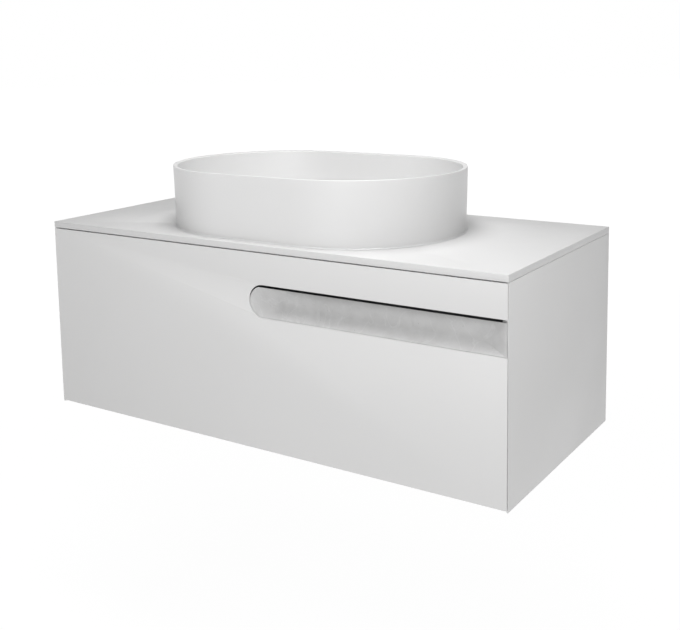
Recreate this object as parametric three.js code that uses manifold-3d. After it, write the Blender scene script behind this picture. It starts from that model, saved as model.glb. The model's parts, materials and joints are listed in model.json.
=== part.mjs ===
// A wall-hung bathroom vanity, 1 m wide: a one-drawer cabinet with mitred corners, a thin countertop and a
// stadium-shaped vessel basin, with its waste, bottle trap, drawer runners and wall fixing.
//
// Every size is in millimetres. The pieces are placed in the cabinet's own axes: x to the right, y from the
// face of the drawer front (0) back to the wall, z up from the underside. The whole group is then moved so
// that its origin is on the wall, at the middle of the wall rail's back face, where the vanity hangs.
import * as THREE from "three";
import { mergeVertices } from "three/addons/utils/BufferGeometryUtils.js";
import Module from "manifold-3d";

const wasm = await Module();
wasm.setup();

// ---------------------------------------------------------------- driving dimensions

const WIDTH = 1000;
const DEPTH = 460;
const BODY_HEIGHT = 368;
const BOARD = 18; // lacquered board of the carcase and the drawer front
const GAP = 0.3; // between two pieces that touch on the real object

const COUNTERTOP_THICKNESS = 12;
const COUNTERTOP_BOTTOM = BODY_HEIGHT;
const COUNTERTOP_TOP = COUNTERTOP_BOTTOM + COUNTERTOP_THICKNESS;

const SIDE_INNER = WIDTH / 2 - BOARD; // inner face of a side panel
const INNER = SIDE_INNER - GAP; // end of whatever butts against a side panel

// The drawer front: mitred at both ends, with a reveal all round.
const FRONT_HALF_WIDTH = 498.6;
const FRONT_BOTTOM = 3;
const FRONT_TOP = 366;
const CARCASE_FRONT = 22; // where the bottom panel and the top rail start, behind the front

// The grip slot runs from the middle of the front out through its right end.
const SLOT_RADIUS = 30;
const SLOT_LEFT = 0;
const SLOT_CENTRE_Z = 279;
const SLOT_BOTTOM = SLOT_CENTRE_Z - SLOT_RADIUS;
const SLOT_TOP = SLOT_CENTRE_Z + SLOT_RADIUS;

// The basin.
const BASIN_HALF_LENGTH = 300;
const BASIN_HALF_WIDTH = 205;
const BASIN_HEIGHT = 120;
const BASIN_TAPER = 3; // the foot is this much smaller all round than the rim
const BASIN_WALL = 9;
const BASIN_FLOOR = 16;
const BASIN_Y = 222;
const BASIN_BOTTOM = COUNTERTOP_TOP + GAP;
const BASIN_TOP = COUNTERTOP_TOP + BASIN_HEIGHT;
const BASIN_INNER_FLOOR = BASIN_BOTTOM + BASIN_FLOOR;

// The drawer box. The plumbing comes down through a U-shaped cut-out that is open at the back.
const DRAWER_BOARD = 16;
const DRAWER_HALF_WIDTH = 469.3;
const DRAWER_SIDE_INNER = DRAWER_HALF_WIDTH - DRAWER_BOARD;
const DRAWER_FRONT = BOARD + GAP;
const DRAWER_BACK = 420;
const DRAWER_BOTTOM_Z = 46;
const DRAWER_BOTTOM_THICKNESS = 12;
const DRAWER_FLOOR = DRAWER_BOTTOM_Z + DRAWER_BOTTOM_THICKNESS;
const DRAWER_SIDE_LOW = 34;
const DRAWER_TOP = 214;
const CUTOUT_HALF_WIDTH = 90;
const CUTOUT_FRONT = 166;

// The telescopic runners, each as long as the drawer's travel.
const RUNNER_LENGTH = 400;
const RUNNER_FRONT = 24;
const RUNNER_Z = 110;

// The waste and the bottle trap, on one vertical axis under the middle of the basin.
const WASTE_HOLE_RADIUS = 23;
const THREAD_RADIUS = 20.5;
const THREAD_BORE_RADIUS = 17.5;
const THREAD_END = 322;
const PIPE_RADIUS = 16;
const PIPE_BORE_RADIUS = 14.5;
const OUTLET_Z = 238;
const BOTTLE_RADIUS = 30;
const BOTTLE_TOP = OUTLET_Z + 24;
const BOTTLE_LOW = OUTLET_Z - 70;

// The wall rail and the hangers that hook over it.
const WALL_RAIL_LOW = 296;
const WALL_RAIL_SHELF = 330;
const WALL_RAIL_LIP = 342;
const STEEL = 2;

const HANDS = [["left", -1], ["right", 1]];

const ROUND_STEPS = 32; // segments in a full turn of a round piece
const BASIN_ARC_STEPS = 24; // segments in each half-round end of the basin

// ---------------------------------------------------------------- materials

function finish(color, roughness, metalness = 0) {
  return new THREE.MeshStandardMaterial({ color, roughness, metalness });
}

const WHITE_LACQUER = finish(0xe9e9e8, 0.45);
const WHITE_TOP = finish(0xf1f1f0, 0.35);
const WHITE_BASIN = finish(0xf4f4f3, 0.3);
const WHITE_MELAMINE = finish(0xe4e4e2, 0.55);
const CONCRETE = finish(0xb5b5b3, 0.7);
const DARK_ALUMINIUM = finish(0x2b2b2c, 0.5, 0.6);
const ZINC_STEEL = finish(0xb9bcbf, 0.35, 0.9);
const CHROME = finish(0xdadcde, 0.12, 1);
const GREY_PLASTIC = finish(0x8c8f92, 0.5);
const WHITE_PLASTIC = finish(0xececea, 0.45);
const BLACK_RUBBER = finish(0x1d1d1e, 0.8);
const CLEAR_BUMPER = finish(0xd8dadb, 0.3);
const SEALANT = finish(0xf2f2f0, 0.4);

// ---------------------------------------------------------------- shapes

const vanity = new THREE.Group();

function add(name, geometry, material) {
  const mesh = new THREE.Mesh(geometry, material);
  mesh.name = name;
  vanity.add(mesh);
}

// A box between two corners.
function box([x0, x1], [y0, y1], [z0, z1]) {
  const geometry = new THREE.BoxGeometry(x1 - x0, y1 - y0, z1 - z0);
  return geometry.translate((x0 + x1) / 2, (y0 + y1) / 2, (z0 + z1) / 2);
}

function outline(points) {
  return new THREE.Shape(points.map(([u, v]) => new THREE.Vector2(u, v)));
}

function extruded(shape, length) {
  const settings = { depth: length, bevelEnabled: false, steps: 1, curveSegments: ROUND_STEPS / 2 };
  return new THREE.ExtrudeGeometry(shape, settings);
}

// A span in x on the right of the middle, or its mirror image on the left.
const mirrored = (side, [near, far]) => [side * near, side * far].sort((a, b) => a - b);

// A section drawn in (x, y), extruded upwards.
const alongZ = (shape, z0, z1) => extruded(shape, z1 - z0).translate(0, 0, z0);

// A section drawn in (x, z), extruded from front to back.
const alongY = (shape, y0, y1) => extruded(shape, y1 - y0).rotateX(Math.PI / 2).translate(0, y1, 0);

// A section drawn in (y, z), extruded from left to right.
function alongX(shape, x0, x1) {
  const turn = new THREE.Matrix4().makeBasis(
    new THREE.Vector3(0, 1, 0),
    new THREE.Vector3(0, 0, 1),
    new THREE.Vector3(1, 0, 0),
  );
  return extruded(shape, x1 - x0).applyMatrix4(turn).translate(x0, 0, 0);
}

// A round piece about the vertical axis through (0, y): the profile is a closed list of [radius, z].
function turned(profile, y = BASIN_Y) {
  const points = [...profile, profile[0]].map(([r, z]) => new THREE.Vector2(r, z));
  return new THREE.LatheGeometry(points, ROUND_STEPS).rotateX(Math.PI / 2).translate(0, y, 0);
}

// The same about the horizontal axis that runs back to the wall at height z: the profile is [radius, y].
function turnedAboutY(profile, x, z) {
  const points = [...profile, profile[0]].map(([r, y]) => new THREE.Vector2(r, y));
  return new THREE.LatheGeometry(points, ROUND_STEPS).translate(x, 0, z);
}

const solidRod = (radius, low, high) => [[0, low], [radius, low], [radius, high], [0, high]];
const tube = (bore, radius, low, high) => [[bore, low], [radius, low], [radius, high], [bore, high]];

// A nut: a hexagon, or a ribbed ring of any number of sides, with a round bore.
function nut(bore, radius, sides, z0, z1, y = BASIN_Y) {
  const rim = Array.from({ length: sides }, (_, i) => {
    const angle = (2 * Math.PI * (i + 0.5)) / sides;
    return [radius * Math.cos(angle), y + radius * Math.sin(angle)];
  });
  const shape = outline(rim);
  const hole = new THREE.Path();
  hole.absarc(0, y, bore, 0, 2 * Math.PI, true);
  shape.holes.push(hole);
  return alongZ(shape, z0, z1);
}

// ---------------------------------------------------------------- cutting and joining

function solid(geometry) {
  const bare = new THREE.BufferGeometry().setAttribute("position", geometry.getAttribute("position"));
  bare.setIndex(geometry.index);
  const merged = mergeVertices(bare, 1e-4);
  const vertProperties = merged.getAttribute("position").array;
  const triVerts = new Uint32Array(merged.index.array);
  return new wasm.Manifold(new wasm.Mesh({ numProp: 3, vertProperties, triVerts }));
}

function geometryOf(manifold) {
  const mesh = manifold.getMesh();
  const positions = new THREE.BufferAttribute(new Float32Array(mesh.vertProperties), 3);
  const geometry = new THREE.BufferGeometry().setAttribute("position", positions);
  geometry.setIndex(new THREE.BufferAttribute(new Uint32Array(mesh.triVerts), 1));
  geometry.computeVertexNormals();
  return geometry;
}

// The first solid with all the others cut away.
function cut(first, ...others) {
  return geometryOf(others.reduce((left, other) => left.subtract(solid(other)), solid(first)));
}

function joined(...pieces) {
  return geometryOf(pieces.slice(1).reduce((sum, piece) => sum.add(solid(piece)), solid(pieces[0])));
}

// ---------------------------------------------------------------- lofts

// A stadium about the basin's middle: two half-round ends of radius halfWidth joined by straight sides.
function stadium(halfLength, halfWidth, z) {
  const straight = halfLength - halfWidth;
  return [1, -1].flatMap((side) =>
    Array.from({ length: BASIN_ARC_STEPS + 1 }, (_, i) => {
      const angle = -Math.PI / 2 + (Math.PI * i) / BASIN_ARC_STEPS;
      const along = straight + halfWidth * Math.cos(angle);
      const across = halfWidth * Math.sin(angle);
      return [side * along, BASIN_Y + side * across, z];
    }),
  );
}

// Skins a list of loops that all have the same number of points, anticlockwise seen from the last loop's end
// and in order up the outside. A closed loft joins its last loop to its first; an open one is capped.
function loft(loops, closed = false) {
  const average = (loop, axis) => loop.reduce((sum, point) => sum + point[axis], 0) / loop.length;
  const count = loops[0].length;
  const positions = loops.flat(2);
  const index = [];
  const bands = closed ? loops.length : loops.length - 1;
  for (let band = 0; band < bands; band += 1) {
    const here = band * count;
    const next = ((band + 1) % loops.length) * count;
    for (let i = 0; i < count; i += 1) {
      const j = (i + 1) % count;
      index.push(here + i, here + j, next + j, here + i, next + j, next + i);
    }
  }
  if (!closed) {
    [0, loops.length - 1].forEach((which) => {
      const middle = positions.length / 3;
      positions.push(...[0, 1, 2].map((axis) => average(loops[which], axis)));
      for (let i = 0; i < count; i += 1) {
        const a = which * count + i;
        const b = which * count + ((i + 1) % count);
        index.push(...(which === 0 ? [middle, b, a] : [middle, a, b]));
      }
    });
  }
  const geometry = new THREE.BufferGeometry();
  geometry.setAttribute("position", new THREE.Float32BufferAttribute(positions, 3));
  geometry.setIndex(index);
  geometry.computeVertexNormals();
  return geometry;
}

// ---------------------------------------------------------------- carcase

const BOTTOM_PANEL_TOP = BOARD;
const LOWER_RAIL_TOP = 98;
const LOWER_RAIL_FRONT = DEPTH - BOARD;
const HANGING_RAIL_LOW = 288;
const HANGING_RAIL_BACK = 440;
const HANGING_RAIL_FRONT = HANGING_RAIL_BACK - BOARD;
const RAIL_TOP = BODY_HEIGHT - GAP;
const HANGER_NOTCH_X = 460.5;
const HANGER_NOTCH_Z = 315;
const TOP_RAIL_DEPTH = 80;

// A side panel's front edge is cut back at 45 degrees, to meet the mitre of the drawer front.
function sidePanel(side) {
  const plan = [[WIDTH / 2, 0], [WIDTH / 2, DEPTH], [SIDE_INNER, DEPTH], [SIDE_INNER, BOARD]];
  const corners = plan.map(([x, y]) => [side * x, y]);
  return alongZ(outline(corners), 0, BODY_HEIGHT - GAP);
}

function hangingRail() {
  const board = box([-INNER, INNER], [HANGING_RAIL_FRONT, HANGING_RAIL_BACK], [HANGING_RAIL_LOW, RAIL_TOP]);
  const notches = [-1, 1].map((side) => {
    const reach = mirrored(side, [HANGER_NOTCH_X, WIDTH / 2]);
    return box(reach, [0, DEPTH], [HANGER_NOTCH_Z, COUNTERTOP_TOP]);
  });
  return cut(board, ...notches);
}

add("left_side_panel", sidePanel(-1), WHITE_LACQUER);
add("right_side_panel", sidePanel(1), WHITE_LACQUER);
add("bottom_panel", box([-INNER, INNER], [CARCASE_FRONT, DEPTH], [0, BOTTOM_PANEL_TOP]), WHITE_MELAMINE);
add(
  "front_top_rail",
  box([-INNER, INNER], [CARCASE_FRONT, CARCASE_FRONT + TOP_RAIL_DEPTH], [BODY_HEIGHT - BOARD, RAIL_TOP]),
  WHITE_MELAMINE,
);
add("hanging_rail", hangingRail(), WHITE_MELAMINE);
add(
  "lower_back_rail",
  box([-INNER, INNER], [LOWER_RAIL_FRONT, DEPTH], [BOTTOM_PANEL_TOP + GAP, LOWER_RAIL_TOP]),
  WHITE_MELAMINE,
);

// ---------------------------------------------------------------- countertop

const COUNTERTOP_HOLE_RADIUS = 28;
const BRACKET_LEG = 29;
const BRACKET_FRONT = 225;
const BRACKET_BACK = 255;

function countertop() {
  const corners = [[-WIDTH / 2, 0], [WIDTH / 2, 0], [WIDTH / 2, DEPTH], [-WIDTH / 2, DEPTH]];
  const shape = outline(corners);
  const hole = new THREE.Path();
  hole.absarc(0, BASIN_Y, COUNTERTOP_HOLE_RADIUS, 0, 2 * Math.PI, true);
  shape.holes.push(hole);
  return alongZ(shape, COUNTERTOP_BOTTOM, COUNTERTOP_TOP);
}

// An angle bracket that holds the countertop down on a side panel.
function countertopBracket(side) {
  const top = BODY_HEIGHT - GAP;
  const section = [
    [INNER, top],
    [INNER - BRACKET_LEG, top],
    [INNER - BRACKET_LEG, top - STEEL],
    [INNER - STEEL, top - STEEL],
    [INNER - STEEL, top - BRACKET_LEG],
    [INNER, top - BRACKET_LEG],
  ];
  return alongY(outline(section.map(([x, z]) => [side * x, z])), BRACKET_FRONT, BRACKET_BACK);
}

add("countertop", countertop(), WHITE_TOP);
add("left_countertop_bracket", countertopBracket(-1), ZINC_STEEL);
add("right_countertop_bracket", countertopBracket(1), ZINC_STEEL);

// ---------------------------------------------------------------- basin

const RIM_RADIUS = 3;
const INNER_TAPER = 7; // how far the inside wall leans in between the rim and the cove at the floor
const COVE_RADIUS = 42;
const COVE_STEPS = 5;
const DRAIN_DISH_RADIUS = 70;
const DRAIN_DISH_DEPTH = 2.5;
const FLANGE_RADIUS = 31;
const FLANGE_SEAT = BASIN_INNER_FLOOR - DRAIN_DISH_DEPTH;

// The loops go up the outside, over the rim, down the inside and in across the floor. Each is given by how
// far it is set in from the rim's outline, and its height.
function basin() {
  const profile = [
    [BASIN_TAPER + 2, BASIN_BOTTOM],
    [BASIN_TAPER, BASIN_BOTTOM + 2],
    [0, BASIN_TOP - RIM_RADIUS],
  ];
  const rimSteps = [30, 60, 90].map((degrees) => THREE.MathUtils.degToRad(degrees));
  rimSteps.forEach((angle) => {
    profile.push([RIM_RADIUS * (1 - Math.cos(angle)), BASIN_TOP - RIM_RADIUS * (1 - Math.sin(angle))]);
  });
  rimSteps.forEach((angle) => {
    const across = BASIN_WALL - RIM_RADIUS + RIM_RADIUS * Math.sin(angle);
    profile.push([across, BASIN_TOP - RIM_RADIUS * (1 - Math.cos(angle))]);
  });
  for (let step = 0; step <= COVE_STEPS; step += 1) {
    const angle = (Math.PI / 2) * (step / COVE_STEPS);
    const inset = BASIN_WALL + INNER_TAPER + COVE_RADIUS * (1 - Math.cos(angle));
    profile.push([inset, BASIN_INNER_FLOOR + COVE_RADIUS * (1 - Math.sin(angle))]);
  }
  const loops = profile.map(([inset, z]) => stadium(BASIN_HALF_LENGTH - inset, BASIN_HALF_WIDTH - inset, z));
  const drain = turned(solidRod(WASTE_HOLE_RADIUS, 0, BASIN_TOP + 1));
  const dish = turned([
    [0, FLANGE_SEAT],
    [FLANGE_RADIUS + 1, FLANGE_SEAT],
    [DRAIN_DISH_RADIUS, BASIN_INNER_FLOOR + 0.01],
    [0, BASIN_INNER_FLOOR + 1],
  ]);
  return cut(loft(loops), drain, dish);
}

// A bead of sealant in the corner between the basin's foot and the countertop.
function sealantBead() {
  const width = 2.5;
  const foot = -BASIN_TAPER + GAP;
  const low = COUNTERTOP_TOP + GAP;
  const section = [[foot + width, low], [foot, low + width], [foot, low]];
  const grow = ([out, z]) => stadium(BASIN_HALF_LENGTH + out, BASIN_HALF_WIDTH + out, z);
  return loft(section.map(grow), true);
}

add("basin", basin(), WHITE_BASIN);
add("basin_sealant", sealantBead(), SEALANT);

// ---------------------------------------------------------------- waste

const SEAL_THICKNESS = 1.5;
const FLANGE_THICKNESS = 2;
const FLANGE_LOW = FLANGE_SEAT + 2 * GAP + SEAL_THICKNESS;
const FLANGE_TOP = FLANGE_LOW + FLANGE_THICKNESS;
const WASHER_THICKNESS = 3;
const WASHER_TOP = COUNTERTOP_BOTTOM - GAP;
const NUT_TOP = WASHER_TOP - WASHER_THICKNESS - GAP;
const NUT_HEIGHT = 12;
const PLUG_RADIUS = 29;
const PLUG_REST = FLANGE_TOP + GAP;
const PLUG_THICKNESS = 5;
const STEM_RADIUS = 4;
const GUIDE_Z = 352; // the cross bar that guides the plug's stem

// The waste is a flanged, threaded tube with a bar across its bore, drilled for the stem of the plug.
function drainBody() {
  const shell = turned([
    [THREAD_BORE_RADIUS, THREAD_END],
    [THREAD_RADIUS, THREAD_END],
    [THREAD_RADIUS, FLANGE_LOW],
    [FLANGE_RADIUS, FLANGE_LOW],
    [FLANGE_RADIUS, FLANGE_TOP],
    [THREAD_BORE_RADIUS, FLANGE_TOP],
  ]);
  const reach = THREAD_BORE_RADIUS + 1;
  const bar = box([-reach, reach], [BASIN_Y - 5, BASIN_Y + 5], [GUIDE_Z - 8, GUIDE_Z]);
  const stemHole = turned(solidRod(STEM_RADIUS + 0.5, GUIDE_Z - 10, GUIDE_Z + 10));
  return geometryOf(solid(shell).add(solid(bar)).subtract(solid(stemHole)));
}

function drainPlug() {
  return turned([
    [0, PLUG_REST - 70],
    [STEM_RADIUS, PLUG_REST - 70],
    [STEM_RADIUS, PLUG_REST - 6],
    [THREAD_BORE_RADIUS - 1.5, PLUG_REST - 5],
    [THREAD_BORE_RADIUS - 1.5, PLUG_REST],
    [PLUG_RADIUS, PLUG_REST],
    [PLUG_RADIUS, PLUG_REST + 1.5],
    [PLUG_RADIUS - 4, PLUG_REST + 3.6],
    [PLUG_RADIUS - 14, PLUG_REST + 4.6],
    [0, PLUG_REST + PLUG_THICKNESS],
  ]);
}

add("drain_body", drainBody(), CHROME);
add("drain_plug", drainPlug(), CHROME);
add(
  "drain_top_seal",
  turned(tube(THREAD_RADIUS + GAP, FLANGE_RADIUS - 1, FLANGE_SEAT + GAP, FLANGE_LOW - GAP)),
  BLACK_RUBBER,
);
add(
  "drain_washer",
  turned(tube(THREAD_RADIUS + GAP, 34, WASHER_TOP - WASHER_THICKNESS, WASHER_TOP)),
  BLACK_RUBBER,
);
add("drain_nut", nut(THREAD_RADIUS + GAP, 32, 6, NUT_TOP - NUT_HEIGHT, NUT_TOP), CHROME);

// ---------------------------------------------------------------- bottle trap

const TAILPIECE_COLLAR = 3.5;
const COLLAR_TOP = THREAD_END - GAP;
const WATER_SEAL = 50; // depth of water that the tailpiece dips into
const DIP_END = OUTLET_Z - PIPE_BORE_RADIUS - WATER_SEAL;
const INLET_SOCKET_RADIUS = 21;
const INLET_SOCKET_TOP = BOTTLE_TOP + 20;
const CUP_RADIUS = 34;
const CUP_TOP = BOTTLE_LOW + 26;
const CUP_LOW = BOTTLE_LOW - 20;
const BOTTLE_WALL = 3;
const OUTLET_SOCKET_RADIUS = 20;
const OUTLET_SOCKET_END = BASIN_Y + 52;
const ESCUTCHEON_RADIUS = 35;
const ESCUTCHEON_DEPTH = 12;

const OUTLET_NUT_DEPTH = 20;

function trapBody() {
  const bottleBore = BOTTLE_RADIUS - BOTTLE_WALL;
  const inletBore = PIPE_RADIUS + GAP;
  const outer = turned([
    [0, BOTTLE_LOW],
    [BOTTLE_RADIUS, BOTTLE_LOW],
    [BOTTLE_RADIUS, BOTTLE_TOP - 6],
    [BOTTLE_RADIUS - 6, BOTTLE_TOP],
    [INLET_SOCKET_RADIUS, BOTTLE_TOP],
    [INLET_SOCKET_RADIUS, INLET_SOCKET_TOP],
    [0, INLET_SOCKET_TOP],
  ]);
  const arm = turnedAboutY(solidRod(OUTLET_SOCKET_RADIUS, BASIN_Y, OUTLET_SOCKET_END), 0, OUTLET_Z);
  const hollow = turned([
    [0, BOTTLE_LOW - 1],
    [bottleBore, BOTTLE_LOW - 1],
    [bottleBore, BOTTLE_TOP - BOTTLE_WALL - 6],
    [inletBore, BOTTLE_TOP - BOTTLE_WALL],
    [inletBore, INLET_SOCKET_TOP + 1],
    [0, INLET_SOCKET_TOP + 1],
  ]);
  const armBore = turnedAboutY(solidRod(PIPE_RADIUS + GAP, BASIN_Y, OUTLET_SOCKET_END + 1), 0, OUTLET_Z);
  return geometryOf(solid(outer).add(solid(arm)).subtract(solid(hollow)).subtract(solid(armBore)));
}

// The cup screws up over the bottom of the bottle and holds the water seal.
function trapCup() {
  return turned([
    [0, CUP_LOW],
    [CUP_RADIUS - 6, CUP_LOW],
    [CUP_RADIUS, CUP_LOW + 6],
    [CUP_RADIUS, CUP_TOP],
    [BOTTLE_RADIUS + GAP, CUP_TOP],
    [BOTTLE_RADIUS + GAP, BOTTLE_LOW - GAP],
    [BOTTLE_RADIUS - BOTTLE_WALL, BOTTLE_LOW - GAP],
    [BOTTLE_RADIUS - BOTTLE_WALL - 5, CUP_LOW + 4],
    [0, CUP_LOW + 4],
  ]);
}

// The nut that holds the tailpiece's collar up against the end of the waste.
function tailpieceNut() {
  const outer = nut(PIPE_RADIUS + GAP, 27, 12, COLLAR_TOP - TAILPIECE_COLLAR - 9, THREAD_END + 14);
  const room = turned(solidRod(THREAD_RADIUS + GAP, COLLAR_TOP - TAILPIECE_COLLAR - GAP, THREAD_END + 20));
  return cut(outer, room);
}

function inletNut() {
  const outer = nut(PIPE_RADIUS + GAP, 27, 12, INLET_SOCKET_TOP - 14, INLET_SOCKET_TOP + 8);
  const room = turned(solidRod(INLET_SOCKET_RADIUS + GAP, INLET_SOCKET_TOP - 20, INLET_SOCKET_TOP + GAP));
  return cut(outer, room);
}

function outletNut() {
  const front = OUTLET_SOCKET_END - OUTLET_NUT_DEPTH + 8;
  const back = front + OUTLET_NUT_DEPTH;
  return turnedAboutY(
    [
      [OUTLET_SOCKET_RADIUS + GAP, front],
      [26, front],
      [26, back],
      [PIPE_RADIUS + GAP, back],
      [PIPE_RADIUS + GAP, OUTLET_SOCKET_END + GAP],
      [OUTLET_SOCKET_RADIUS + GAP, OUTLET_SOCKET_END + GAP],
    ],
    0,
    OUTLET_Z,
  );
}

function escutcheon() {
  const front = DEPTH - ESCUTCHEON_DEPTH;
  return turnedAboutY(
    [
      [PIPE_RADIUS + GAP, front],
      [PIPE_RADIUS + 4, front],
      [ESCUTCHEON_RADIUS, DEPTH - 3],
      [ESCUTCHEON_RADIUS, DEPTH],
      [PIPE_RADIUS + GAP, DEPTH],
    ],
    0,
    OUTLET_Z,
  );
}

add(
  "tailpiece",
  turned([
    [PIPE_BORE_RADIUS, DIP_END],
    [PIPE_RADIUS, DIP_END],
    [PIPE_RADIUS, COLLAR_TOP - TAILPIECE_COLLAR],
    [THREAD_RADIUS - 0.5, COLLAR_TOP - TAILPIECE_COLLAR],
    [THREAD_RADIUS - 0.5, COLLAR_TOP],
    [PIPE_BORE_RADIUS, COLLAR_TOP],
  ]),
  CHROME,
);
add("tailpiece_nut", tailpieceNut(), CHROME);
add("trap_inlet_nut", inletNut(), CHROME);
add("trap_body", trapBody(), CHROME);
add("trap_cup", trapCup(), CHROME);
add("trap_outlet_nut", outletNut(), CHROME);
add(
  "trap_outlet_pipe",
  turnedAboutY(tube(PIPE_BORE_RADIUS, PIPE_RADIUS, BASIN_Y + 32, DEPTH), 0, OUTLET_Z),
  CHROME,
);
add("wall_escutcheon", escutcheon(), CHROME);

// ---------------------------------------------------------------- drawer front and grip

const SLOT_LIP = 2.5; // thickness of the front that is left along the slot's upper edge
const REBATE = { left: SLOT_LEFT - 16, low: 288, high: SLOT_TOP + 7 }; // behind that lip
const SCOOP_FACE = 1; // the insert's front edge is this far behind the drawer front's face
const SCOOP_EDGE = 0.8; // width of that edge
const SCOOP_DROP = 3; // the insert's crown is this far below the slot's, at the round end
const SCOOP_SIDE = 1.2; // and its left end this far inside the slot's
const SCOOP_DEPTH = 18; // from the front edge back to the upright part of the face
const SCOOP_RISE = 26; // the face turns upright over this distance in from the slot's edge
const SCOOP_TOP = 299; // upper edge of the upright part
const SCOOP_RUN = 40; // the face runs out to the left over this much more
const SCOOP_WING = 1.2; // front edge of the wall along the mitre, measured across the front
const SCOOP_TURN = 45; // the face turns towards that wall over this distance
const SCOOP_STEPS = 10;
const SCOOP_ARC_STEPS = 12; // segments in each quarter of the round end
const INSERT_BACK = 36;
const INSERT_LOW = 235;
const POCKET_WALL = 1.5;
const POCKET_TOP = 330;
const GRIP_RIGHT = 480.8;

// The outline of the grip slot in (x, z), running out past the right end.
function slotShape() {
  const centre = SLOT_LEFT + SLOT_RADIUS;
  const shape = new THREE.Shape();
  shape.moveTo(WIDTH, SLOT_BOTTOM);
  shape.lineTo(WIDTH, SLOT_TOP);
  shape.lineTo(centre, SLOT_TOP);
  shape.absarc(centre, SLOT_CENTRE_Z, SLOT_RADIUS, Math.PI / 2, (3 * Math.PI) / 2, false);
  return shape;
}

// A loop of points round the insert at depth y, shrunk by inset from the slot's edge, with its round end moved
// to the right by run. It goes left along the bottom, up round the end and right along the top. Its crown stays
// at one height.
function scoopLoop(inset, y, crown, run = 0, right = WIDTH) {
  const centre = SLOT_LEFT + SLOT_RADIUS + run;
  const radius = SLOT_RADIUS - inset;
  const loop = [[right, y, SLOT_CENTRE_Z - radius]];
  for (let step = 0; step <= 2 * SCOOP_ARC_STEPS; step += 1) {
    const angle = (Math.PI / 2) * (step / SCOOP_ARC_STEPS);
    const across = Math.sin(angle);
    const up = -Math.cos(angle);
    const x = centre - (radius - SCOOP_SIDE) * across;
    loop.push([x, y, SLOT_CENTRE_Z + (up > 0 ? crown : radius) * up]);
  }
  loop.push([right, y, SLOT_CENTRE_Z + crown]);
  return loop;
}

// The mitred plan of the front, from its face back to a given depth.
function mitredPlan(depth, left = -FRONT_HALF_WIDTH) {
  const right = FRONT_HALF_WIDTH;
  return outline([[left, 0], [right, 0], [right - depth, depth], [left + depth, depth]]);
}

function drawerFront() {
  const panel = alongZ(mitredPlan(BOARD), FRONT_BOTTOM, FRONT_TOP);
  const slot = alongY(slotShape(), -1, BOARD + 1);
  const rebate = box([REBATE.left, WIDTH], [SLOT_LIP, BOARD + 1], [REBATE.low, REBATE.high]);
  return cut(panel, slot, rebate);
}

// The room in front of the insert's face: coved along the bottom, running out gently at the round end, and
// closed by a wall along the mitre at the right end.
function scoop() {
  const edge = GAP + SCOOP_EDGE;
  const crown = SLOT_RADIUS - edge - SCOOP_DROP;
  const wall = FRONT_HALF_WIDTH - SCOOP_WING;
  const loops = [scoopLoop(edge, -BOARD, crown, 0, wall - SCOOP_FACE)];
  for (let step = 0; step <= SCOOP_STEPS; step += 1) {
    const t = step / SCOOP_STEPS;
    const deep = 1 - (1 - t) ** 2;
    const y = SCOOP_FACE + SCOOP_DEPTH * deep;
    const right = wall - y - SCOOP_TURN * t;
    loops.push(scoopLoop(edge + SCOOP_RISE * t, y, crown, SCOOP_RUN * deep, right));
  }
  return loft(loops);
}

// The grip insert: a scooped face that lines the slot, on a block that is glued to the back of the front. Its
// upper side falls away towards the back, so that the fingers can reach over it.
function gripInsert() {
  const crown = SLOT_RADIUS - GAP - SCOOP_DROP;
  const lining = solid(loft([scoopLoop(GAP, SCOOP_FACE, crown), scoopLoop(GAP, BOARD + 2 * GAP, crown)]));
  const mitre = solid(alongZ(mitredPlan(BOARD + GAP, 0), SLOT_BOTTOM, SLOT_TOP));
  const block = box([SLOT_LEFT - 6, GRIP_RIGHT], [BOARD + GAP, INSERT_BACK], [INSERT_LOW, SLOT_TOP]);
  const seam = box([SLOT_LEFT + 2, GRIP_RIGHT - 1], [BOARD, BOARD + 2 * GAP], [SLOT_BOTTOM + 1, SLOT_TOP]);
  const above = outline([
    [0, SLOT_TOP - 4.3],
    [SCOOP_FACE + SCOOP_DEPTH, SCOOP_TOP],
    [INSERT_BACK + 1, SCOOP_TOP - 10],
    [INSERT_BACK + 1, COUNTERTOP_TOP],
    [0, COUNTERTOP_TOP],
  ]);
  const over = solid(alongX(above, SLOT_LEFT - BOARD, WIDTH));
  const filled = lining.intersect(mitre).add(solid(seam).intersect(lining)).add(solid(block));
  return geometryOf(filled.subtract(solid(scoop())).subtract(over));
}

// The dark angle profile that closes the room behind the upper lip, which the fingertips reach up into. It is
// glued to the back of the insert.
function gripPocket() {
  const front = BOARD + GAP;
  const back = INSERT_BACK + GAP + POCKET_WALL;
  const section = [
    [front, POCKET_TOP - POCKET_WALL],
    [front, POCKET_TOP],
    [back, POCKET_TOP],
    [back, INSERT_LOW + 30],
    [back - POCKET_WALL, INSERT_LOW + 30],
    [back - POCKET_WALL, POCKET_TOP - POCKET_WALL],
  ];
  return alongX(outline(section), SLOT_LEFT - 24, GRIP_RIGHT);
}

add("drawer_front_panel", drawerFront(), WHITE_LACQUER);
add("grip_insert", gripInsert(), CONCRETE);
add("grip_pocket_profile", gripPocket(), DARK_ALUMINIUM);

// ---------------------------------------------------------------- drawer box

const INNER_EDGE = DRAWER_SIDE_INNER - GAP;
const ON_FLOOR = DRAWER_FLOOR + GAP;
const BRACKET_HEIGHT = 90;

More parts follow.
